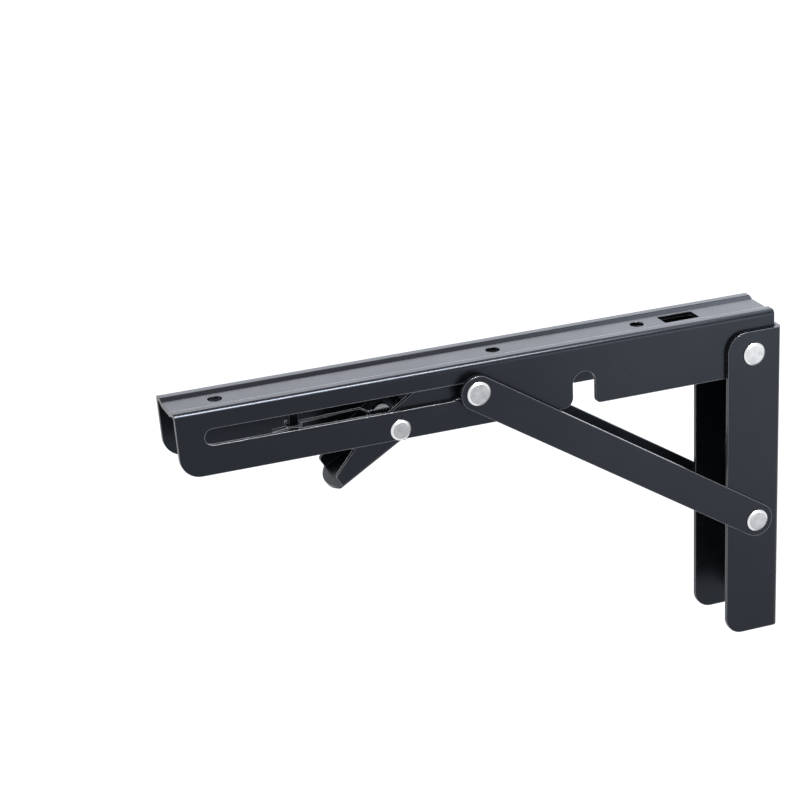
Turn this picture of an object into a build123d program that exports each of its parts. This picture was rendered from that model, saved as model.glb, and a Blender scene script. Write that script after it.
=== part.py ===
from build123d import *
import math
import os

os.makedirs("parts", exist_ok=True)

# Lengths are in millimetres. X runs out from the wall, Y across the bracket, Z up.
# The origin is the middle wall screw hole, on the face that lies against the wall.

# Sheet metal and clearances
sheet = 2.0
bend_inside = 0.4
side_gap = 0.4
pin_gap = 0.05
snug_gap = 0.02
head_gap = 0.1
slot_gap = 0.3

# Pivots, seen from the side
rail_pivot_x = 15.3
rail_pivot_inset = 11.6
foot_pivot_x = 14.0
foot_pivot_drop = 87.3
slot_pin_x = 160.0
slot_pin_rise = 6.4
lever_pivot_x = 197.3
lever_pivot_drop = 6.4

# Shelf rail
rail_length = 300.0
rail_half_width = 15.4
rail_top_rise = 19.8
rail_bottom_drop = 11.2
rail_wall_gap = 1.1
rail_end_slant = 1.3
rail_toe_round = 10.0
rail_heel_round = 11.5
groove_depth = 1.2
groove_slope_width = 2.5
groove_shoulder = 6.2
shelf_hole_x = 69.2
shelf_hole_spacing = 75.0
shelf_hole_end_inset = 23.2
shelf_hole_radius = 3.5
window_x = 47.2
window_length = 18.4
window_half_width = 4.8
window_round = 1.0

# Slot for the sliding pins
slot_end_inset = 13.2
slot_rise = 10.8
slot_height = 8.0
slot_neck_x = 163.0
slot_step_x = 169.5
slot_step_round = 0.6

# Notch that passes the strut foot
notch_half_width = 5.9
notch_lead = 1.7
notch_mouth_wall_round = 2.5
notch_mouth_end_round = 5.0

# Wall plate
plate_height = 160.6
plate_depth = 29.2
plate_bend_inside = 1.0
plate_top_round = 9.8
plate_bottom_round = 8.8
wall_hole_radius = 2.75
wall_hole_inset = 30.3

# Strut
strut_width = 16.9

# Rivets
rail_head_radius = 5.7
foot_head_radius = 5.6
top_head_radius = 5.8
rivet_head_height = 1.3
rivet_rim_width = 1.0
rivet_rim_depth = 0.8
clinch_height = 1.2
rail_rivet_radius = 3.5
rail_clinch_radius = 5.5
foot_rivet_radius = 3.0
foot_spacer_radius = 3.6
top_rivet_radius = 2.5
lever_head_radius = 5.0
lever_head_height = 1.2
lever_rivet_radius = 2.5
lever_clinch_radius = 4.1

# Sliding pins
slot_pin_radius = 2.5
slot_collar_radius = 5.6

# Release lever, measured from its pivot
lever_top_rise = 16.2
lever_shoulder_x = -7.9
lever_knee = (5.5, 7.2)
lever_brow = (21.9, -6.5)
lever_nose_height = 7.2
lever_boss_radius = 5.3
lever_edge_offset = 6.8
lever_reach = 36.7
lever_slope = 31.0
lever_web_start = 1.5
lever_bend_inside = 0.6
lever_tongue = 4.6
lever_heel_x = -12.0
lever_catch_low = 5.6
lever_shoulder_round = 4.0
lever_front_round = 24.0
lever_nose_round = 2.0
lug_x = -8.9
lug_low = 0.0
lug_high = 4.4
lug_past_middle = 2.2

# Return spring
wire_radius = 0.7
coil_radius = 2.43
coil_length = 16.5
coil_start_x = 190.6
coil_axis_drop = 3.6
wire_bend = 0.9
wire_tuck = 0.1
wire_root = 1.5
wire_sides = 8
hook_gap = 0.25
hook_drop = 4.4
leg_rise = 1.7
leg_settle = 4.5
leg_fall = 0.9
eye_climb = 1.2
eye_slip = 0.2
eye_drop = 1.6
wire_tail = 8.0

# Spring anchor
anchor_x = 244.65
anchor_width = 4.4
anchor_near = 3.6
anchor_tip_drop = 3.0
anchor_foot_width = 9.6
anchor_bend_inside = 0.5
anchor_wire_gap = 0.5

# Places that follow from the sizes above
rail_pivot_z = plate_height / 2 - rail_pivot_inset
rail_pivot = (rail_pivot_x, rail_pivot_z)
foot_pivot = (foot_pivot_x, rail_pivot_z - foot_pivot_drop)
slot_pin = (slot_pin_x, rail_pivot_z + slot_pin_rise)
lever_pivot = (lever_pivot_x, rail_pivot_z - lever_pivot_drop)
rail_top = rail_pivot_z + rail_top_rise
rail_bottom = rail_pivot_z - rail_bottom_drop
rail_start_x = sheet + rail_wall_gap
rail_end_x = rail_start_x + rail_length
rail_inside = rail_half_width - sheet
groove_crest_half = rail_half_width - groove_shoulder
groove_floor_half = groove_crest_half - groove_slope_width
groove_floor = rail_top - groove_depth
roof_under = groove_floor - sheet
plate_inside = rail_half_width + side_gap
plate_outside = plate_inside + sheet
strut_inside = plate_outside + side_gap
strut_outside = strut_inside + sheet
lever_outside = rail_inside - side_gap
lever_inside = lever_outside - sheet
shelf_hole_xs = (shelf_hole_x, shelf_hole_x + shelf_hole_spacing, rail_end_x - shelf_hole_end_inset)
slot_end_x = rail_end_x - slot_end_inset
slot_top = rail_pivot_z + slot_rise
lug_reach = lever_inside + lug_past_middle
coil_axis_z = rail_pivot_z - coil_axis_drop


def rounded_path(points, closed):
    """Edges through (point, radius) corners, each corner rounded by its radius."""
    corners = [(Vector(*point), radius) for point, radius in points]
    count = len(corners)
    bends = []
    for index, (here, radius) in enumerate(corners):
        is_end = not closed and index in (0, count - 1)
        if is_end or radius == 0:
            bends.append((here, here, here))
            continue
        back = (corners[index - 1][0] - here).normalized()
        ahead = (corners[(index + 1) % count][0] - here).normalized()
        half = math.acos(back.dot(ahead)) / 2
        reach = radius / math.tan(half)
        depth = radius / math.sin(half) - radius
        inward = (back + ahead).normalized()
        bends.append((here + back * reach, here + inward * depth, here + ahead * reach))
    edges = []
    for index, (start, middle, end) in enumerate(bends):
        if (end - start).length > 1e-6:
            edges.append(ThreePointArc(start, middle, end))
        is_last = not closed and index == count - 1
        following = bends[(index + 1) % count][0]
        if not is_last and (following - end).length > 1e-6:
            edges.append(Line(end, following))
    return edges


def outline(*corners):
    """Flat face from (x, y, radius) corners."""
    points = [((x, y), radius) for x, y, radius in corners]
    return make_face(rounded_path(points, True))


def side_solid(face, low, high):
    """Side view face (x, z) made solid from y = low to y = high."""
    return extrude(Plane.XZ.offset(-high) * face, high - low)


def pin(centre, radius, low, high):
    """Round bar along Y."""
    return side_solid(Pos(*centre) * Circle(radius), low, high)


def rivet_head(centre, radius, seat, height):
    """Flat-topped head standing out from y = seat, with a bevelled rim."""
    disc = pin(centre, radius, seat, seat + height)
    rim = disc.edges().sort_by(Axis.Y)[-1]
    return chamfer(rim, rivet_rim_depth, rivet_rim_width)


def far(solid):
    """The same piece on the far side of the bracket."""
    return mirror(solid, about=Plane.XZ)


def both_sides(solid):
    """A solid together with its image on the far side."""
    return solid + far(solid)


def through(face):
    """Side view face cut across the whole width."""
    return side_solid(face, -strut_outside, strut_outside)


def wire_along(edges):
    """Wire swept along connected edges, its round drawn with a few flats."""
    path = Wire(edges)
    section = Plane(origin=path @ 0, z_dir=path % 0) * RegularPolygon(wire_radius, wire_sides)
    return sweep(section, path=path)


# Shelf rail
slope_angle = math.atan2(groove_depth, groove_slope_width)
slope_shift = sheet * math.tan(slope_angle / 2)
bend_outside = bend_inside + sheet
rail_half_section = [
    (groove_floor_half, groove_floor, bend_inside),
    (groove_crest_half, rail_top, bend_outside),
    (rail_half_width, rail_top, bend_outside),
    (rail_half_width, rail_bottom, 0),
    (rail_inside, rail_bottom, 0),
    (rail_inside, rail_top - sheet, bend_inside),
    (groove_crest_half + slope_shift, rail_top - sheet, bend_inside),
    (groove_floor_half + slope_shift, roof_under, bend_outside),
]
rail_other_half = [(-y, z, radius) for y, z, radius in reversed(rail_half_section)]
rail_section = outline(*rail_half_section, *rail_other_half)
rail_stock = extrude(Plane.YZ.offset(rail_start_x) * rail_section, rail_length)

notch_x = rail_pivot_x + foot_pivot_drop + notch_lead
notch_top = rail_pivot_z + notch_half_width
rail_side = outline(
    (rail_start_x, rail_top, 0),
    (rail_end_x, rail_top, 0),
    (rail_end_x - rail_end_slant, rail_bottom, rail_toe_round),
    (notch_x + notch_half_width, rail_bottom, notch_mouth_end_round),
    (notch_x + notch_half_width, notch_top, notch_half_width),
    (notch_x - notch_half_width, notch_top, notch_half_width),
    (notch_x - notch_half_width, rail_bottom, notch_mouth_wall_round),
    (rail_start_x, rail_bottom, rail_heel_round),
)
seat_radius = slot_pin_radius + slot_gap
seat_high = slot_pin[1] + seat_radius
seat_low = slot_pin[1] - seat_radius
slot_low = slot_top - slot_height
slot_face = outline(
    (slot_pin_x - seat_radius, seat_high, seat_radius),
    (slot_neck_x, seat_high, slot_step_round),
    (slot_neck_x + slot_top - seat_high, slot_top, slot_step_round),
    (slot_end_x, slot_top, slot_height / 2),
    (slot_end_x, slot_low, slot_height / 2),
    (slot_step_x + seat_low - slot_low, slot_low, slot_step_round),
    (slot_step_x, seat_low, slot_step_round),
    (slot_pin_x - seat_radius, seat_low, seat_radius),
)
rail = rail_stock & through(rail_side)
rail -= through(slot_face)
rail -= through(Pos(*rail_pivot) * Circle(rail_rivet_radius + pin_gap))
rail -= through(Pos(*lever_pivot) * Circle(lever_rivet_radius + snug_gap))
for hole_x in shelf_hole_xs:
    rail -= Pos(hole_x, 0, rail_top) * Cylinder(shelf_hole_radius, 4 * sheet)
window = RectangleRounded(window_length, 2 * window_half_width, window_round)
rail -= Pos(window_x, 0, rail_top - 2 * sheet) * extrude(window, 4 * sheet)

# Wall plate
plate_bend_outside = plate_bend_inside + sheet
plate_section = outline(
    (plate_depth, plate_outside, 0),
    (0, plate_outside, plate_bend_outside),
    (0, -plate_outside, plate_bend_outside),
    (plate_depth, -plate_outside, 0),
    (plate_depth, -plate_inside, 0),
    (sheet, -plate_inside, plate_bend_inside),
    (sheet, plate_inside, plate_bend_inside),
    (plate_depth, plate_inside, 0),
)
plate_side = outline(
    (0, -plate_height / 2, 0),
    (plate_depth, -plate_height / 2, plate_bottom_round),
    (plate_depth, plate_height / 2, plate_top_round),
    (0, plate_height / 2, 0),
)
wall_plate = Pos(0, 0, -plate_height / 2) * extrude(plate_section, plate_height)
wall_plate &= through(plate_side)
wall_plate -= through(Pos(*rail_pivot) * Circle(rail_rivet_radius + snug_gap))
wall_plate -= through(Pos(*foot_pivot) * Circle(foot_rivet_radius + pin_gap))
wall_hole_spacing = plate_height / 2 - wall_hole_inset
for hole_z in (-wall_hole_spacing, 0, wall_hole_spacing):
    wall_hole = Plane.YZ.offset(-sheet) * Pos(0, hole_z) * Circle(wall_hole_radius)
    wall_plate -= extrude(wall_hole, 3 * sheet)

# Strut bars
strut_run = slot_pin[0] - foot_pivot[0]
strut_rise = slot_pin[1] - foot_pivot[1]
strut_length = math.hypot(strut_run, strut_rise)
strut_angle = math.degrees(math.atan2(strut_rise, strut_run))
strut_middle = Pos(foot_pivot[0] + strut_run / 2, foot_pivot[1] + strut_rise / 2)
strut_face = strut_middle * Rot(0, 0, strut_angle) * SlotCenterToCenter(strut_length, strut_width)
strut_face -= Pos(*foot_pivot) * Circle(foot_rivet_radius + snug_gap)
strut_face -= Pos(*slot_pin) * Circle(top_rivet_radius + snug_gap)
strut_bar = side_solid(strut_face, strut_inside, strut_outside)

# Rivets between wall plate and rail
rail_clinch_seat = rail_inside - head_gap
rail_rivet = rivet_head(rail_pivot, rail_head_radius, plate_outside, rivet_head_height)
rail_rivet += pin(rail_pivot, rail_rivet_radius, rail_clinch_seat, plate_outside)
rail_rivet += pin(rail_pivot, rail_clinch_radius, rail_clinch_seat - clinch_height, rail_clinch_seat)

# Rivet and spacer at the strut foot
foot_rivet = pin(foot_pivot, foot_rivet_radius, -strut_outside, strut_outside)
foot_rivet += both_sides(rivet_head(foot_pivot, foot_head_radius, strut_outside, rivet_head_height))
foot_spacer = pin(foot_pivot, foot_spacer_radius, -plate_inside, plate_inside)
foot_spacer -= through(Pos(*foot_pivot) * Circle(foot_rivet_radius + pin_gap))

# Rivets at the strut top and the pins that slide in the rail
top_rivet = rivet_head(slot_pin, top_head_radius, strut_outside, rivet_head_height)
top_rivet += pin(slot_pin, top_rivet_radius, strut_inside, strut_outside)
collar_seat = rail_half_width + slot_gap
sliding_pin = pin(slot_pin, slot_pin_radius, rail_inside, collar_seat)
sliding_pin += pin(slot_pin, slot_collar_radius, collar_seat, plate_outside)

# Rivets that carry the lever
lever_clinch_seat = lever_inside - head_gap
lever_rivet = rivet_head(lever_pivot, lever_head_radius, rail_half_width, lever_head_height)
lever_rivet += pin(lever_pivot, lever_rivet_radius, lever_clinch_seat, rail_half_width)
lever_rivet += pin(lever_pivot, lever_clinch_radius, lever_clinch_seat - clinch_height, lever_clinch_seat)

# Release lever, drawn from its pivot and then moved into place
slope = math.radians(lever_slope)
along = Vector(math.cos(slope), -math.sin(slope))
inward = Vector(math.sin(slope), math.cos(slope))
web_root = inward * -lever_edge_offset
lever_tip = web_root + along * lever_reach
lever_nose = lever_tip + inward * lever_nose_height
edge_turn_x = (lever_boss_radius * inward.Y - lever_edge_offset) / inward.X
catch_radius = math.dist(slot_pin, lever_pivot) - slot_pin_radius - slot_gap
lever_side = outline(
    (-2 * catch_radius, lever_top_rise, 0),
    (lever_shoulder_x, lever_top_rise, lever_shoulder_round),
    (*lever_knee, lever_front_round),
    (*lever_brow, lever_front_round),
    (lever_nose.X, lever_nose.Y, lever_nose_round),
    (lever_tip.X, lever_tip.Y, 0),
    (edge_turn_x, -lever_boss_radius, lever_boss_radius),
    (lever_heel_x, -lever_boss_radius, lever_boss_radius),
    (-catch_radius, lever_catch_low, 0),
    (-2 * catch_radius, lever_catch_low, 0),
)
beyond_catch = Pos(-2 * catch_radius, 0) * Rectangle(3 * catch_radius, 4 * catch_radius)
lever_side -= beyond_catch - Circle(catch_radius)
web_plane = Plane(
    origin=(web_root.X, 0, web_root.Y),
    x_dir=(along.X, 0, along.Y),
    z_dir=(inward.X, 0, inward.Y),
)
tongue_radius = (lever_outside ** 2 + lever_tongue ** 2) / (2 * lever_tongue)
tongue_centre = lever_reach + lever_tongue - tongue_radius
web_face = Pos(tongue_centre, 0) * Circle(tongue_radius)
web_face += Pos(tongue_centre / 2, 0) * Rectangle(tongue_centre, 2 * tongue_radius)
web_face &= Pos(lever_reach / 2 + lever_tongue, 0) * Rectangle(lever_reach + 2 * lever_tongue, 2 * lever_outside)
web_strip = web_plane * extrude(web_face, sheet)
lever_bend_outside = lever_bend_inside + sheet
lever_height = 2 * catch_radius
channel_section = outline(
    (lever_outside, 0, lever_bend_outside),
    (lever_outside, lever_height, 0),
    (lever_inside, lever_height, 0),
    (lever_inside, sheet, lever_bend_inside),
    (-lever_inside, sheet, lever_bend_inside),
    (-lever_inside, lever_height, 0),
    (-lever_outside, lever_height, 0),
    (-lever_outside, 0, lever_bend_outside),
)
web_start = web_root + along * lever_web_start
section_plane = Plane(
    origin=(web_start.X, 0, web_start.Y),
    x_dir=(0, 1, 0),
    z_dir=(along.X, 0, along.Y),
)
lever_channel = extrude(section_plane * channel_section, lever_reach + lever_tongue)
cheeks = side_solid(lever_side, -lever_outside, lever_outside)
lever = lever_channel & (cheeks + web_strip)
tail_side = side_solid(lever_side, lever_inside, lever_outside)
tail = both_sides(tail_side)
tail_room = 4 * catch_radius
tail_align = (Align.CENTER, Align.CENTER, Align.MAX)
lever += tail & section_plane * Box(tail_room, tail_room, tail_room, align=tail_align)
lug_place = Pos(lug_x, lug_reach / 2 - lever_inside, (lug_low + lug_high) / 2)
lever += lug_place * Box(sheet, lug_reach, lug_high - lug_low)
lever -= through(Circle(lever_rivet_radius + pin_gap))
lever = Pos(lever_pivot[0], 0, lever_pivot[1]) * lever

# Return spring: hook over the lug, close coil, long leg, eye round the anchor
coil_end_x = coil_start_x + coil_length
wire_top = coil_axis_z + coil_radius - wire_tuck
hook_x = lever_pivot_x + lug_x - sheet / 2 - hook_gap - wire_radius
eye_reach = wire_radius + anchor_wire_gap
eye_start_x = anchor_x - anchor_width / 2 - eye_reach
eye_end_x = anchor_x + anchor_width / 2 + eye_reach
eye_near = anchor_near + eye_reach
eye_far = anchor_near - sheet - eye_reach
leg_z = wire_top + leg_rise
coil_ring = Circle(coil_radius + wire_radius) - Circle(coil_radius - wire_radius)
coil = Plane.YZ.offset(coil_start_x) * Pos(0, coil_axis_z) * coil_ring
coil = extrude(coil, coil_end_x - coil_start_x)
hook = rounded_path([
    ((hook_x, 0, wire_top - hook_drop), 0),
    ((hook_x, 0, wire_top), wire_bend),
    ((coil_start_x + wire_root, 0, wire_top), 0),
], False)
leg = rounded_path([
    ((coil_end_x - wire_root, 0, wire_top), 0),
    ((coil_end_x, 0, wire_top), wire_bend),
    ((coil_end_x + leg_settle, eye_far, leg_z + leg_fall), wire_bend),
    ((eye_start_x, eye_far, leg_z), wire_bend),
    ((eye_end_x, eye_far, leg_z + eye_climb), wire_bend),
    ((eye_end_x, eye_near, leg_z + eye_slip), wire_bend),
    ((eye_start_x, eye_near, leg_z - eye_slip), wire_bend),
    ((eye_start_x, eye_far, leg_z - eye_drop), wire_bend),
    ((eye_end_x + wire_tail, eye_far, leg_z - eye_drop), 0),
], False)
lever_spring = coil + wire_along(hook) + wire_along(leg)

# Spring anchor under the groove floor
anchor_tip = rail_pivot_z - anchor_tip_drop
anchor_section = outline(
    (anchor_near, roof_under, anchor_bend_inside + sheet),
    (anchor_near, anchor_tip, 0),
    (anchor_near - sheet, anchor_tip, 0),
    (anchor_near - sheet, roof_under - sheet, anchor_bend_inside),
    (anchor_near - anchor_foot_width, roof_under - sheet, 0),
    (anchor_near - anchor_foot_width, roof_under, 0),
)
anchor_stock = Plane.YZ.offset(anchor_x - anchor_width / 2) * anchor_section
spring_anchor = extrude(anchor_stock, anchor_width)

export_step(rail, "parts/rail.step")
export_step(wall_plate, "parts/wall_plate.step")
export_step(rail_rivet, "parts/rail_rivet_near.step")
export_step(far(rail_rivet), "parts/rail_rivet_far.step")
export_step(foot_spacer, "parts/foot_spacer.step")
export_step(foot_rivet, "parts/foot_rivet.step")
export_step(strut_bar, "parts/strut_bar_near.step")
export_step(far(strut_bar), "parts/strut_bar_far.step")
export_step(top_rivet, "parts/top_rivet_near.step")
export_step(far(top_rivet), "parts/top_rivet_far.step")
export_step(sliding_pin, "parts/sliding_pin_near.step")
export_step(far(sliding_pin), "parts/sliding_pin_far.step")
export_step(lever, "parts/lever.step")
export_step(lever_rivet, "parts/lever_rivet_near.step")
export_step(far(lever_rivet), "parts/lever_rivet_far.step")
export_step(lever_spring, "parts/lever_spring.step")
export_step(spring_anchor, "parts/spring_anchor.step")
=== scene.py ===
"""Looks for a folding drop-leaf bracket: finishes, the wound return spring, light and camera."""

import logging
import math
from dataclasses import dataclass, field
from enum import Enum
from typing import Any

import bpy
from mathutils import Matrix, Vector


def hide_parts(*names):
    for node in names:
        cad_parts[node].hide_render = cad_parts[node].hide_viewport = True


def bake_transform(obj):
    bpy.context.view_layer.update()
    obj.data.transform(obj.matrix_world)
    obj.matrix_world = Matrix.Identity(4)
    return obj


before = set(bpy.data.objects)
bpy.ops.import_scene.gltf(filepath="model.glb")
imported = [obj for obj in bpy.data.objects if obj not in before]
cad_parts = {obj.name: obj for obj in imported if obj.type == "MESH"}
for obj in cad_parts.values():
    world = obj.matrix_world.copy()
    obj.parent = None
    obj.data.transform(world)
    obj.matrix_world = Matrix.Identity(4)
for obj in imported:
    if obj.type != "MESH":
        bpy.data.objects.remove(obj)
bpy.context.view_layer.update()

MM = 0.001
LOG = logging.getLogger("bracket")

EDGE_SAMPLES = 8
# Noise stays near a half; nearly all of it lies between these two.
NOISE_LOW = 0.3
NOISE_HIGH = 0.7


def linear_rgba(hex_code: str) -> tuple[float, float, float, float]:
    """Turns an sRGB hex colour into linear light.

    Args:
        hex_code: Colour as six hex digits, with or without a leading hash.

    Returns:
        Linear red, green and blue with an alpha of 1.
    """
    digits = hex_code.lstrip("#")
    channels = [int(digits[place:place + 2], 16) / 255 for place in (0, 2, 4)]
    linear = [c / 12.92 if c <= 0.04045 else ((c + 0.055) / 1.055) ** 2.4 for c in channels]
    return (linear[0], linear[1], linear[2], 1.0)


def add_node(tree: bpy.types.NodeTree, kind: str, inputs: dict[str | int, Any] | None = None,
             **settings: Any) -> bpy.types.Node:
    """Adds one shader node with its settings and links.

    Args:
        tree: Node tree that gets the node.
        kind: Blender's name for the node type.
        inputs: Value or source socket for each named or numbered input.
        settings: Attributes of the node itself.

    Returns:
        The new node.
    """
    node = tree.nodes.new(kind)
    for name, value in settings.items():
        setattr(node, name, value)
    for socket, value in (inputs or {}).items():
        if isinstance(value, bpy.types.NodeSocket):
            tree.links.new(value, node.inputs[socket])
        else:
            node.inputs[socket].default_value = value
    return node


def new_material(name: str) -> tuple[bpy.types.Material, bpy.types.NodeTree]:
    """Makes an empty node material.

    Args:
        name: Name of the material.

    Returns:
        The material and its cleared node tree.
    """
    material = bpy.data.materials.new(name)
    material.use_nodes = True
    material.node_tree.nodes.clear()
    return material, material.node_tree


def rays_that_see(tree: bpy.types.NodeTree) -> bpy.types.NodeSocket:
    """Tells rays that show a surface, straight, mirrored or through glass, from rays that only light.

    Args:
        tree: Node tree that gets the nodes.

    Returns:
        A socket that is 1 for camera, glossy and transmission rays and 0 for the others.
    """
    rays = add_node(tree, "ShaderNodeLightPath")
    straight = add_node(tree, "ShaderNodeMath",
                        {0: rays.outputs["Is Camera Ray"], 1: rays.outputs["Is Glossy Ray"]},
                        operation="MAXIMUM")
    through = add_node(tree, "ShaderNodeMath",
                       {0: straight.outputs[0], 1: rays.outputs["Is Transmission Ray"]},
                       operation="MAXIMUM")
    return through.outputs[0]


@dataclass(frozen=True)
class PowderCoat:
    """Satin powder coat baked on pressed steel.

    It reads as charcoal with a blue cast, with a faint orange peel, and its rounded edges are painted paler
    and a little metallic as a painted highlight.
    """

    name: str = "charcoal_powder_coat"
    pigment: str = "#101215"
    pigment_clouded: str = "#15181b"
    edge_highlight_pigment: str = "#989ca1"
    edge_highlight_metallic: float = 0.1
    roughness: float = 0.25
    roughness_swing: float = 0.03
    ior: float = 1.5
    specular_level: float = 0.27
    specular_tint: str = "#dae7ff"
    # Orange peel on thin coat has waves of about half a millimetre; drawn at 0.9 mm so that it shows.
    peel_mm: float = 0.9
    peel_height_mm: float = 0.003
    peel_detail: float = 2.0
    mottle_mm: float = 22.0
    mottle_detail: float = 3.0
    # Sheared and folded edges are round by a few tenths of a millimetre.
    edge_mm: float = 0.6
    # Cosine of the rounding's turn where the painted edge highlight starts, and where it is full.
    highlight_starts: float = 0.985
    highlight_full: float = 0.8

    def material(self) -> bpy.types.Material:
        """Builds the coat's material.

        Returns:
            The material, for every pressed piece.
        """
        material, tree = new_material(self.name)
        place = add_node(tree, "ShaderNodeTexCoord").outputs["Object"]
        mottle = add_node(tree, "ShaderNodeTexNoise",
                          {"Vector": place, "Scale": 1 / (self.mottle_mm * MM),
                           "Detail": self.mottle_detail})
        peel = add_node(tree, "ShaderNodeTexNoise",
                        {"Vector": place, "Scale": 1 / (self.peel_mm * MM),
                         "Detail": self.peel_detail})
        edge = add_node(tree, "ShaderNodeBevel", {"Radius": self.edge_mm * MM}, samples=EDGE_SAMPLES)
        flat = add_node(tree, "ShaderNodeNewGeometry")
        turn = add_node(tree, "ShaderNodeVectorMath",
                        {0: edge.outputs["Normal"], 1: flat.outputs["Normal"]}, operation="DOT_PRODUCT")
        # Painted highlight: the rounded edges take a pale, slightly metallic colour in place of the light
        # they catch.
        highlight_mask = add_node(tree, "ShaderNodeMapRange",
                       {"Value": turn.outputs["Value"], "From Min": self.highlight_starts,
                        "From Max": self.highlight_full})
        colour = add_node(tree, "ShaderNodeMix",
                          {"Factor": mottle.outputs["Fac"], 6: linear_rgba(self.pigment),
                           7: linear_rgba(self.pigment_clouded)}, data_type="RGBA")
        highlighted_colour = add_node(tree, "ShaderNodeMix",
                        {"Factor": highlight_mask.outputs["Result"], 6: colour.outputs[2],
                         7: linear_rgba(self.edge_highlight_pigment)}, data_type="RGBA")
        highlight_metal = add_node(tree, "ShaderNodeMath", {0: highlight_mask.outputs["Result"], 1: self.edge_highlight_metallic},
                        operation="MULTIPLY")
        rough = add_node(tree, "ShaderNodeMapRange",
                         {"Value": mottle.outputs["Fac"], "From Min": NOISE_LOW, "From Max": NOISE_HIGH,
                          "To Min": self.roughness - self.roughness_swing,
                          "To Max": self.roughness + self.roughness_swing})
        bump = add_node(tree, "ShaderNodeBump",
                        {"Height": peel.outputs["Fac"], "Distance": self.peel_height_mm * MM,
                         "Normal": edge.outputs["Normal"]})
        shader = add_node(tree, "ShaderNodeBsdfPrincipled",
                          {"Base Color": highlighted_colour.outputs[2], "Metallic": highlight_metal.outputs[0],
                           "Roughness": rough.outputs["Result"],
                           "IOR": self.ior, "Specular IOR Level": self.specular_level,
                           "Specular Tint": linear_rgba(self.specular_tint),
                           "Normal": bump.outputs["Normal"]})
        add_node(tree, "ShaderNodeOutputMaterial", {"Surface": shader.outputs["BSDF"]})
        return material


@dataclass(frozen=True)
class ZincPlate:
    """Bright zinc plate on cold-headed rivets.

    The head's flat face is given a darker, greyer tone than the bright bevelled rim, and painted shade
    darkens the corner where the head meets the sheet.
    """

    name: str = "bright_zinc_plate"
    metal: str = "#dfe1e3"
    flat_grey: str = "#a8aaac"
    flat_grey_clouded: str = "#949699"
    contact_shade: str = "#26272a"
    roughness: float = 0.2
    flat_roughness: float = 0.19
    roughness_swing: float = 0.04
    # Tumbling leaves marks of about a tenth of a millimetre; drawn at 0.4 mm so that they show.
    tumble_mm: float = 0.4
    tumble_height_mm: float = 0.0015
    tumble_detail: float = 3.0
    cloud_mm: float = 3.0
    cloud_detail: float = 4.0
    shade_mm: float = 1.1
    # Openness of a corner that takes the full painted shade, and of one that takes none.
    shade_full: float = 0.55
    shade_ends: float = 0.95
    # The head's flat faces straight out to the side; its bevelled rim leans away by 39 degrees.
    flat_starts: float = 0.93
    flat_full: float = 0.99
    edge_mm: float = 0.2

    def material(self) -> bpy.types.Material:
        """Builds the plate's material.

        Returns:
            The material, for every rivet, pin and spacer.
        """
        material, tree = new_material(self.name)
        coordinates = add_node(tree, "ShaderNodeTexCoord")
        place = coordinates.outputs["Object"]
        cloud = add_node(tree, "ShaderNodeTexNoise",
                         {"Vector": place, "Scale": 1 / (self.cloud_mm * MM),
                          "Detail": self.cloud_detail})
        tumble = add_node(tree, "ShaderNodeTexNoise",
                          {"Vector": place, "Scale": 1 / (self.tumble_mm * MM),
                           "Detail": self.tumble_detail})
        facing = add_node(tree, "ShaderNodeSeparateXYZ", {0: coordinates.outputs["Normal"]})
        sideways = add_node(tree, "ShaderNodeMath", {0: facing.outputs["Y"]}, operation="ABSOLUTE")
        on_flat = add_node(tree, "ShaderNodeMapRange",
                           {"Value": sideways.outputs[0], "From Min": self.flat_starts,
                            "From Max": self.flat_full})
        blotch = add_node(tree, "ShaderNodeMapRange",
                          {"Value": cloud.outputs["Fac"], "From Min": NOISE_LOW,
                           "From Max": NOISE_HIGH})
        flat_tone = add_node(tree, "ShaderNodeMix",
                        {"Factor": blotch.outputs["Result"], 6: linear_rgba(self.flat_grey),
                         7: linear_rgba(self.flat_grey_clouded)}, data_type="RGBA")
        unshaded_colour = add_node(tree, "ShaderNodeMix",
                         {"Factor": on_flat.outputs["Result"], 6: linear_rgba(self.metal),
                          7: flat_tone.outputs[2]}, data_type="RGBA")
        # Painted shade: the colour goes nearly black in the corner where the head meets the sheet.
        corner = add_node(tree, "ShaderNodeAmbientOcclusion", {"Distance": self.shade_mm * MM},
                          samples=EDGE_SAMPLES)
        corner_shade = add_node(tree, "ShaderNodeMapRange",
                          {"Value": corner.outputs["AO"], "From Min": self.shade_full,
                           "From Max": self.shade_ends,
                           "To Min": 1.0, "To Max": 0.0})
        colour = add_node(tree, "ShaderNodeMix",
                          {"Factor": corner_shade.outputs["Result"], 6: unshaded_colour.outputs[2],
                           7: linear_rgba(self.contact_shade)}, data_type="RGBA")
        smooth = add_node(tree, "ShaderNodeMapRange",
                          {"Value": on_flat.outputs["Result"], "To Min": self.roughness,
                           "To Max": self.flat_roughness})
        swing = add_node(tree, "ShaderNodeMath",
                         {0: tumble.outputs["Fac"], 1: self.roughness_swing, 2: smooth.outputs["Result"]},
                         operation="MULTIPLY_ADD")
        edge = add_node(tree, "ShaderNodeBevel", {"Radius": self.edge_mm * MM}, samples=EDGE_SAMPLES)
        bump = add_node(tree, "ShaderNodeBump",
                        {"Height": tumble.outputs["Fac"], "Distance": self.tumble_height_mm * MM,
                         "Normal": edge.outputs["Normal"]})
        shader = add_node(tree, "ShaderNodeBsdfPrincipled",
                          {"Base Color": colour.outputs[2], "Metallic": 1.0,
                           "Roughness": swing.outputs[0], "Normal": bump.outputs["Normal"]})
        add_node(tree, "ShaderNodeOutputMaterial", {"Surface": shader.outputs["BSDF"]})
        return material


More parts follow.
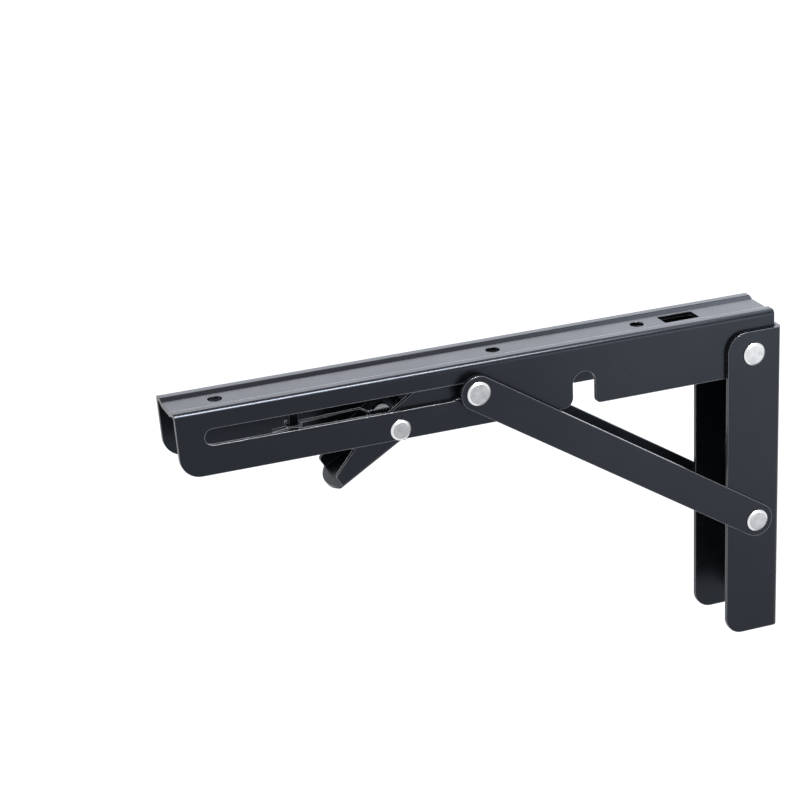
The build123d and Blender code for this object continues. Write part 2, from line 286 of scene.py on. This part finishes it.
@dataclass(frozen=True)
class DrawnWire:
    """Drawn spring steel wire.

    It is grey and glossy where light reaches it, with fine lines from the drawing die. Both its greys are
    darker than bare drawn steel: partly the wire's own tone, partly painted shade for its run inside the
    rail's dark channel.
    """

    name: str = "drawn_spring_wire"
    # Painted shade in part: both greys are kept dark for the wire's run inside the rail's channel.
    metal: str = "#94969a"
    metal_dull: str = "#505256"
    roughness: float = 0.16
    roughness_swing: float = 0.1
    # Drawing lines are finer than the eye can see; drawn at 0.25 mm so that they break up the gloss.
    line_mm: float = 0.25
    line_height_mm: float = 0.002
    line_detail: float = 2.0

    def material(self) -> bpy.types.Material:
        """Builds the wire's material.

        Returns:
            The material, for the return spring.
        """
        material, tree = new_material(self.name)
        place = add_node(tree, "ShaderNodeTexCoord").outputs["Object"]
        lines = add_node(tree, "ShaderNodeTexNoise",
                         {"Vector": place, "Scale": 1 / (self.line_mm * MM),
                          "Detail": self.line_detail})
        colour = add_node(tree, "ShaderNodeMix",
                          {"Factor": lines.outputs["Fac"], 6: linear_rgba(self.metal),
                           7: linear_rgba(self.metal_dull)}, data_type="RGBA")
        rough = add_node(tree, "ShaderNodeMapRange",
                         {"Value": lines.outputs["Fac"], "From Min": NOISE_LOW, "From Max": NOISE_HIGH,
                          "To Min": self.roughness, "To Max": self.roughness + self.roughness_swing})
        bump = add_node(tree, "ShaderNodeBump",
                        {"Height": lines.outputs["Fac"], "Distance": self.line_height_mm * MM})
        shader = add_node(tree, "ShaderNodeBsdfPrincipled",
                          {"Base Color": colour.outputs[2], "Metallic": 1.0,
                           "Roughness": rough.outputs["Result"], "Normal": bump.outputs["Normal"]})
        add_node(tree, "ShaderNodeOutputMaterial", {"Surface": shader.outputs["BSDF"]})
        return material


class Finish(Enum):
    """The bracket's three finishes, named as the record names its material slots."""

    COATED_STEEL = "coated_steel"
    PLATED_STEEL = "plated_steel"
    SPRING_WIRE = "spring_wire"


FINISH_MAKERS: dict[Finish, PowderCoat | ZincPlate | DrawnWire] = {
    Finish.COATED_STEEL: PowderCoat(),
    Finish.PLATED_STEEL: ZincPlate(),
    Finish.SPRING_WIRE: DrawnWire(),
}


class FinishShelf:
    """Keeps one material for each finish, made when it is first asked for."""

    def __init__(self) -> None:
        """Starts with no material made."""
        self._made: dict[Finish, bpy.types.Material] = {}

    def take(self, finish: Finish) -> bpy.types.Material:
        """Gives the material of a finish.

        Args:
            finish: The finish wanted.

        Returns:
            Its material.
        """
        if finish not in self._made:
            self._made[finish] = FINISH_MAKERS[finish].material()
        return self._made[finish]


@dataclass
class SubAssembly:
    """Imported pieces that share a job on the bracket, sorted by finish."""

    title: str
    coated: tuple[str, ...] = ()
    plated: tuple[str, ...] = ()

    def dress(self, shelf: FinishShelf) -> None:
        """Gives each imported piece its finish.

        Args:
            shelf: Where the finishes are kept.
        """
        for finish, names in ((Finish.COATED_STEEL, self.coated), (Finish.PLATED_STEEL, self.plated)):
            for name in names:
                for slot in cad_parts[name].material_slots:
                    slot.material = shelf.take(finish)
                LOG.info("%s: %s is %s", self.title, name, finish.value)


@dataclass
class WallBracket(SubAssembly):
    """The channel on the wall with the rivets and the spacer it carries."""

    title: str = "wall bracket"
    coated: tuple[str, ...] = ("wall_plate",)
    plated: tuple[str, ...] = ("rail_rivet_near", "rail_rivet_far", "foot_spacer")


@dataclass
class ShelfRail(SubAssembly):
    """The folding rail with the lever's rivets and the spring's anchor."""

    title: str = "shelf rail"
    coated: tuple[str, ...] = ("rail", "spring_anchor")
    plated: tuple[str, ...] = ("lever_rivet_near", "lever_rivet_far")


@dataclass
class Strut(SubAssembly):
    """The two strut bars with their rivets and the pins that slide in the rail."""

    title: str = "strut"
    coated: tuple[str, ...] = ("strut_bar_near", "strut_bar_far")
    plated: tuple[str, ...] = ("foot_rivet", "top_rivet_near", "top_rivet_far",
                               "sliding_pin_near", "sliding_pin_far")


@dataclass
class ReleaseLever(SubAssembly):
    """The pressed release lever."""

    title: str = "release lever"
    coated: tuple[str, ...] = ("lever",)


@dataclass
class ReturnSpring:
    """The lever's extension spring: hook, close-wound coil, long leg and an eye round the anchor.

    Lengths are in millimetres in the bracket's frame.
    """

    wire_radius: float = 0.7
    coil_radius: float = 2.43
    coil_start_x: float = 190.6
    coil_length: float = 16.5
    coil_axis_z: float = 65.1
    coil_turns: int = 11
    points_per_turn: int = 28
    coil_tuck: float = 0.2
    hook_x: float = 186.45
    hook_y: float = -1.9
    hook_drop: float = 4.3
    leg_start_y: float = 1.6
    leg_z: float = 69.13
    leg_fall: float = 0.9
    leg_settle: float = 4.5
    eye_start_x: float = 241.25
    eye_end_x: float = 248.05
    eye_near: float = 4.8
    eye_far: float = 0.4
    eye_climb: float = 1.2
    eye_slip: float = 0.2
    eye_drop: float = 1.6
    tail: float = 6.4
    tail_drop: float = 0.7
    bend: float = 1.1
    bend_steps: int = 6
    # No bend uses up more than this share of the straight run on either side of it.
    bend_share: float = 0.48
    facets: int = 6
    bend_from_x: float = 205.0
    bend_to_x: float = 192.0

    def _rounded(self, corners: list[tuple[float, float, float]]) -> list[Vector]:
        """Rounds the corners of a bent run of wire.

        Args:
            corners: Where the straight runs would meet, first and last points included.

        Returns:
            Points along the run with each corner turned into an arc.
        """
        points = [Vector(corners[0])]
        for before, here, after in zip(corners, corners[1:], corners[2:]):
            corner = Vector(here)
            back = Vector(before) - corner
            ahead = Vector(after) - corner
            half = back.angle(ahead) / 2
            longest = self.bend_share * min(back.length, ahead.length)
            reach = min(self.bend / math.tan(half), longest)
            start = corner + back.normalized() * reach
            end = corner + ahead.normalized() * reach
            for step in range(self.bend_steps + 1):
                share = step / self.bend_steps
                points.append(start * (1 - share) ** 2 + corner * 2 * share * (1 - share) + end * share ** 2)
        points.append(Vector(corners[-1]))
        return points

    def _coil(self) -> list[Vector]:
        """Winds the coil.

        Returns:
            Points along the coil, starting and ending at its top.
        """
        count = self.coil_turns * self.points_per_turn
        points = []
        for step in range(count + 1):
            angle = 2 * math.pi * step / self.points_per_turn
            points.append(Vector((
                self.coil_start_x + self.coil_length * step / count,
                self.coil_radius * math.sin(angle),
                self.coil_axis_z + self.coil_radius * math.cos(angle),
            )))
        return points

    def _line(self) -> list[Vector]:
        """Lays out the whole wire.

        Returns:
            Points along the wire, from the hook's tip to the tail.
        """
        coil = self._coil()
        top = self.coil_axis_z + self.coil_radius
        hook = self._rounded([
            (self.hook_x, self.hook_y, top - self.hook_drop),
            (self.hook_x, self.hook_y, top),
            (self.coil_start_x - self.coil_tuck, self.hook_y, top),
            tuple(coil[0]),
        ])
        near = self.eye_near
        away = self.eye_far
        start_x = self.eye_start_x
        end_x = self.eye_end_x
        coil_end_x = self.coil_start_x + self.coil_length
        leg = self._rounded([
            tuple(coil[-1]),
            (coil_end_x + self.coil_tuck, self.leg_start_y, top),
            (coil_end_x + self.leg_settle, away, self.leg_z + self.leg_fall),
            (start_x, away, self.leg_z),
            (end_x, away, self.leg_z + self.eye_climb),
            (end_x, near, self.leg_z + self.eye_slip),
            (start_x, near, self.leg_z - self.eye_slip),
            (start_x, away, self.leg_z - self.eye_drop),
            (end_x, away, self.leg_z - self.eye_drop),
            (end_x + self.tail, away, self.leg_z - self.eye_drop - self.tail_drop),
        ])
        return hook[:-1] + coil + leg[1:]

    def build(self, shelf: FinishShelf) -> bpy.types.Object:
        """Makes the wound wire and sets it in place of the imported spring.

        Args:
            shelf: Where the finishes are kept.

        Returns:
            The spring's mesh object.
        """
        curve = bpy.data.curves.new("return_spring_line", "CURVE")
        curve.dimensions = "3D"
        curve.bevel_depth = self.wire_radius * MM
        curve.bevel_resolution = self.facets
        curve.use_fill_caps = True
        line = self._line()
        spline = curve.splines.new("POLY")
        spline.points.add(len(line) - 1)
        for point, place in zip(spline.points, line):
            point.co = (place.x * MM, place.y * MM, place.z * MM, 1.0)
        route = bpy.data.objects.new("return_spring_route", curve)
        bpy.context.scene.collection.objects.link(route)
        bpy.context.view_layer.update()
        mesh = bpy.data.meshes.new_from_object(route.evaluated_get(bpy.context.evaluated_depsgraph_get()))
        bpy.data.objects.remove(route)
        mesh.shade_smooth()
        mesh.materials.clear()
        mesh.materials.append(shelf.take(Finish.SPRING_WIRE))
        spring = bpy.data.objects.new("return_spring", mesh)
        bpy.context.scene.collection.objects.link(spring)
        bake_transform(spring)
        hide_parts("lever_spring")
        LOG.info("return spring: %d turns wound", self.coil_turns)
        return spring


@dataclass(frozen=True)
class Softbox:
    """A rectangular studio lamp that the camera doesn't see.

    It hangs at a distance from the aim, in a direction from it, and faces it. Lengths are in metres. One
    that is only for gloss draws highlights on edges and lights nothing else.
    """

    name: str
    towards: tuple[float, float, float]
    distance: float
    width: float
    height: float
    watts: float
    colour: str = "#ffffff"
    only_gloss: bool = False


@dataclass
class Studio:
    """Floor, background, lamps and camera."""

    aim: Vector = field(default_factory=lambda: Vector((0.1914, 0.0, 0.0706)))
    azimuth: float = 160.24
    elevation: float = 21.39
    roll: float = -2.83
    distance: float = 1.0645
    focal_pixels: float = 2290.3
    picture_pixels: float = 800.0
    sensor_mm: float = 36.0
    clip_near: float = 0.05
    clip_far: float = 50.0
    white: tuple[float, float, float, float] = (1.0, 1.0, 1.0, 1.0)
    # The floor lies just under the rail's end when the rail is folded down.
    floor_z: float = -0.225
    floor_half: float = 6.0
    floor_colour: str = "#f4f4f4"
    # Where it is seen, the floor is mostly glow and takes only this much shade, so that it stays white
    # and still keeps the bracket's shadow.
    floor_shade: str = "#909090"
    floor_glow: float = 0.85
    fill_strength: float = 0.6
    # Back and top give the rail's top its sheen, the key draws the pale edge lines, the side one lights
    # the flanks, and the low one, near the floor, the wall plate and the rivets' flats.
    lamps: tuple[Softbox, ...] = (
        Softbox("back_softbox", (-0.36, -0.93, 0.1), 1.4, 1.7, 1.2, 13.4, "#eef2ff"),
        Softbox("top_softbox", (-0.62, -0.24, 0.75), 1.44, 0.6, 0.5, 5.0, "#eef2ff"),
        Softbox("key_softbox", (-0.14, 0.41, 0.9), 1.165, 0.68, 0.35, 60.0, "#fffaf3", only_gloss=True),
        Softbox("side_softbox", (-0.62, 0.76, 0.0), 1.0, 0.6, 0.5, 3.2),
        Softbox("low_softbox", (-0.38, 0.4, -0.21), 0.59, 0.3, 0.16, 0.09),
    )

    def _axes(self) -> tuple[Vector, Vector, Vector]:
        """Works out how the camera stands.

        Returns:
            Its right, up and backward directions, roll included.
        """
        turn = math.radians(self.azimuth)
        lift = math.radians(self.elevation)
        lean = math.radians(self.roll)
        back = Vector((math.sin(turn) * math.cos(lift), -math.cos(turn) * math.cos(lift), math.sin(lift)))
        right = Vector((math.cos(turn), math.sin(turn), 0.0))
        up = back.cross(right)
        leaned_right = right * math.cos(lean) + up * math.sin(lean)
        leaned_up = up * math.cos(lean) - right * math.sin(lean)
        return leaned_right, leaned_up, back

    def camera(self) -> None:
        """Sets the camera at the photograph's viewing angle."""
        right, up, back = self._axes()
        data = bpy.data.cameras.new("camera")
        data.sensor_width = self.sensor_mm
        data.lens = self.focal_pixels / self.picture_pixels * self.sensor_mm
        data.clip_start = self.clip_near
        data.clip_end = self.clip_far
        camera = bpy.data.objects.new("camera", data)
        facing = Matrix((right, up, back)).transposed().to_4x4()
        camera.matrix_world = Matrix.Translation(self.aim + back * self.distance) @ facing
        bpy.context.scene.collection.objects.link(camera)
        bpy.context.scene.camera = camera

    def floor(self) -> None:
        """Lays the pale floor."""
        half = self.floor_half
        corners = [(-half, -half, self.floor_z), (half, -half, self.floor_z),
                   (half, half, self.floor_z), (-half, half, self.floor_z)]
        mesh = bpy.data.meshes.new("floor")
        mesh.from_pydata(corners, [], [(0, 1, 2, 3)])
        floor = bpy.data.objects.new("floor", mesh)
        bpy.context.scene.collection.objects.link(floor)
        material, tree = new_material("studio_floor")
        seen = rays_that_see(tree)
        shade = add_node(tree, "ShaderNodeMix",
                         {"Factor": seen, 6: linear_rgba(self.floor_colour),
                          7: linear_rgba(self.floor_shade)}, data_type="RGBA")
        plain = add_node(tree, "ShaderNodeBsdfDiffuse", {"Color": shade.outputs[2]})
        glow = add_node(tree, "ShaderNodeMath", {0: seen, 1: self.floor_glow}, operation="MULTIPLY")
        shine = add_node(tree, "ShaderNodeEmission",
                         {"Color": self.white, "Strength": glow.outputs[0]})
        both = add_node(tree, "ShaderNodeAddShader", {0: plain.outputs[0], 1: shine.outputs[0]})
        add_node(tree, "ShaderNodeOutputMaterial", {"Surface": both.outputs[0]})
        mesh.materials.append(material)

    def background(self) -> None:
        """Sets a background that is white where it is seen and softer as a light."""
        world = bpy.data.worlds.new("studio")
        world.use_nodes = True
        tree = world.node_tree
        tree.nodes.clear()
        strength = add_node(tree, "ShaderNodeMapRange",
                            {"Value": rays_that_see(tree), "To Min": self.fill_strength})
        light = add_node(tree, "ShaderNodeBackground",
                         {"Color": self.white, "Strength": strength.outputs["Result"]})
        add_node(tree, "ShaderNodeOutputWorld", {"Surface": light.outputs[0]})
        bpy.context.scene.world = world

    def light(self) -> None:
        """Hangs the lamps round the bracket."""
        for box in self.lamps:
            data = bpy.data.lights.new(box.name, "AREA")
            data.shape = "RECTANGLE"
            data.size = box.width
            data.size_y = box.height
            data.energy = box.watts
            data.color = linear_rgba(box.colour)[:3]
            lamp = bpy.data.objects.new(box.name, data)
            away = Vector(box.towards).normalized()
            lamp.location = self.aim + away * box.distance
            lamp.rotation_euler = away.to_track_quat("Z", "Y").to_euler()
            lamp.visible_camera = False
            lamp.visible_diffuse = not box.only_gloss
            bpy.context.scene.collection.objects.link(lamp)

    def build(self) -> None:
        """Builds the whole studio."""
        self.floor()
        self.background()
        self.light()
        self.camera()
        bpy.context.scene.view_settings.view_transform = "Standard"
        LOG.info("studio: %d lamps", len(self.lamps))


def main() -> None:
    """Builds the bracket's looks in order."""
    logging.basicConfig(level=logging.INFO)
    shelf = FinishShelf()
    for assembly in (WallBracket(), ShelfRail(), Strut(), ReleaseLever()):
        assembly.dress(shelf)
    ReturnSpring().build(shelf)
    Studio().build()


if __name__ == "__main__":
    main()
